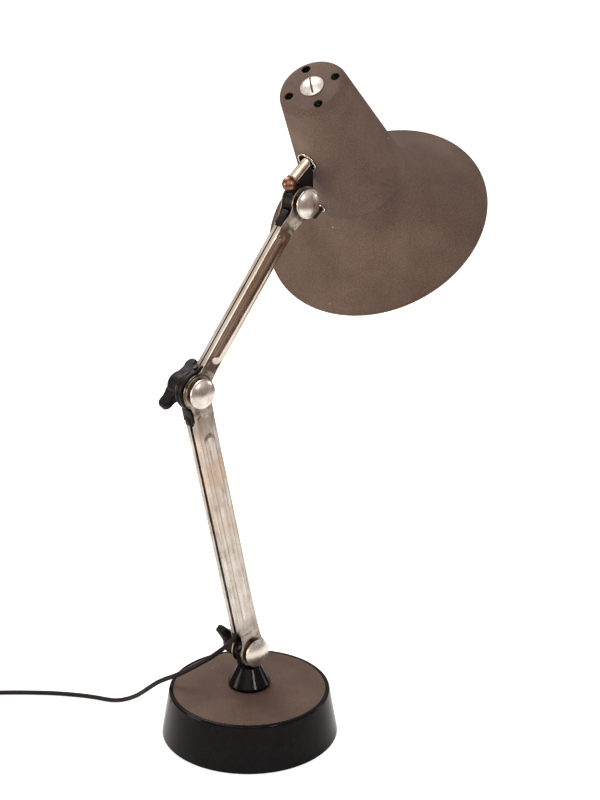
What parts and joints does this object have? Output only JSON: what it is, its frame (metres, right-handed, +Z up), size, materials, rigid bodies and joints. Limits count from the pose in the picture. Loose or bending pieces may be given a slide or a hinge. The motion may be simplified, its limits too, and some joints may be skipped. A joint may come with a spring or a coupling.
{
  "type": "architect desk lamp",
  "caption": "Jointed desk lamp: weighted round base, swivelling post, two pressed-rail arms with clamped hinges, and a flared shade that tilts and turns.",
  "frame": {"origin": "centre of the base's underside, on the surface that the lamp stands on", "axes": "+Z up; both arms, all their hinges' swing and the swivel tube lie in the XZ plane, with the shade on the +X side; hinge axes along Y, domed bolt heads on -Y and wing knobs on +Y"},
  "size_m": [0.5438, 0.3439, 0.6459],
  "materials": {
    "bakelite": "glossy black moulded phenolic",
    "crinkle_paint": "brown wrinkle enamel",
    "cast_iron": "raw casting",
    "steel": "zinc plated",
    "hardboard": "pressed fibre board",
    "felt": "wool felt",
    "brass": "worn brass",
    "nickel": "worn nickel plating",
    "satin_chrome": "satin chromium plating",
    "black_plastic": "moulded black plastic",
    "copper": "copper plated",
    "flex": "black flexible sleeve",
    "glass": "frosted bulb",
    "black_metal": "black enamel"
  },
  "bodies": {
    "base": {"base_shell": "bakelite", "base_cover": "crinkle_paint", "ballast": "cast_iron", "ballast_screws": "steel", "bottom_plate": "hardboard", "plate_screws": "steel", "felt_pad": "felt", "spindle_bush": "brass"},
    "post": {"pivot_post": "bakelite", "spindle": "steel", "spindle_washer": "steel", "spindle_nut": "steel", "cord": "flex", "cord_coil": "flex", "cord_tie": "black_plastic", "plug_body": "black_plastic", "plug_pins": "brass"},
    "base_knob": {"base_knob": "black_plastic", "base_knob_insert": "brass"},
    "lower_arm": {"base_hinge_bolt": "satin_chrome", "base_hinge_washers": "brass", "lower_rail_front": "nickel", "lower_rail_back": "nickel", "lower_block": "black_plastic", "lower_rivets": "steel", "lower_lead": "flex", "elbow_bolt": "satin_chrome", "elbow_washers": "brass"},
    "elbow_knob": {"elbow_knob": "black_plastic", "elbow_knob_insert": "brass"},
    "upper_arm": {"upper_rail_front": "nickel", "upper_rail_back": "nickel", "elbow_block": "black_plastic", "block_screw": "steel", "head_spacer": "black_plastic", "upper_rivets": "steel", "elbow_lead": "flex", "upper_lead": "flex", "head_bolt": "satin_chrome", "head_nut": "steel", "head_washers": "brass"},
    "knuckle": {"knuckle": "black_metal", "swivel_tube": "nickel", "ball_nut": "copper", "tube_collars": "steel", "head_lead": "flex"},
    "shade": {"shade_neck": "crinkle_paint", "shade_brim": "crinkle_paint", "top_screw": "satin_chrome", "grommet_ring": "nickel", "lead_eyelet": "nickel", "strap_bracket": "steel", "strap_nuts": "steel", "lampholder": "bakelite", "bulb_cap": "brass", "bulb_glass": "glass"}
  },
  "joints": [
    {"name": "base_swivel", "type": "hinge", "parent": "base", "child": "post", "pos_m": [0, 0, 0.05], "axis": [0, 0, 1], "continuous": true},
    {"name": "lower_arm_tilt", "type": "hinge", "parent": "post", "child": "lower_arm", "pos_m": [0, 0, 0.0886], "axis": [0, 1, 0], "range_deg": [-35, 50], "deforming": ["cord"]},
    {"name": "base_knob_turn", "type": "hinge", "parent": "lower_arm", "child": "base_knob", "pos_m": [0, 0, 0.0886], "axis": [0, 1, 0], "continuous": true},
    {"name": "elbow_bend", "type": "hinge", "parent": "lower_arm", "child": "upper_arm", "pos_m": [-0.06159, 0, 0.37014], "axis": [0, 1, 0], "range_deg": [-50, 70], "deforming": ["elbow_lead"]},
    {"name": "elbow_knob_turn", "type": "hinge", "parent": "lower_arm", "child": "elbow_knob", "pos_m": [-0.06159, 0, 0.37014], "axis": [0, 1, 0], "continuous": true},
    {"name": "head_tilt", "type": "hinge", "parent": "upper_arm", "child": "knuckle", "pos_m": [0.06482, 0, 0.52149], "axis": [0, 1, 0], "range_deg": [-55, 40], "deforming": ["head_lead"]},
    {"name": "shade_swivel", "type": "hinge", "parent": "knuckle", "child": "shade", "pos_m": [0.10563, 0, 0.5804], "axis": [0.7917, 0, 0.611], "range_deg": [-90, 70]}
  ]
}
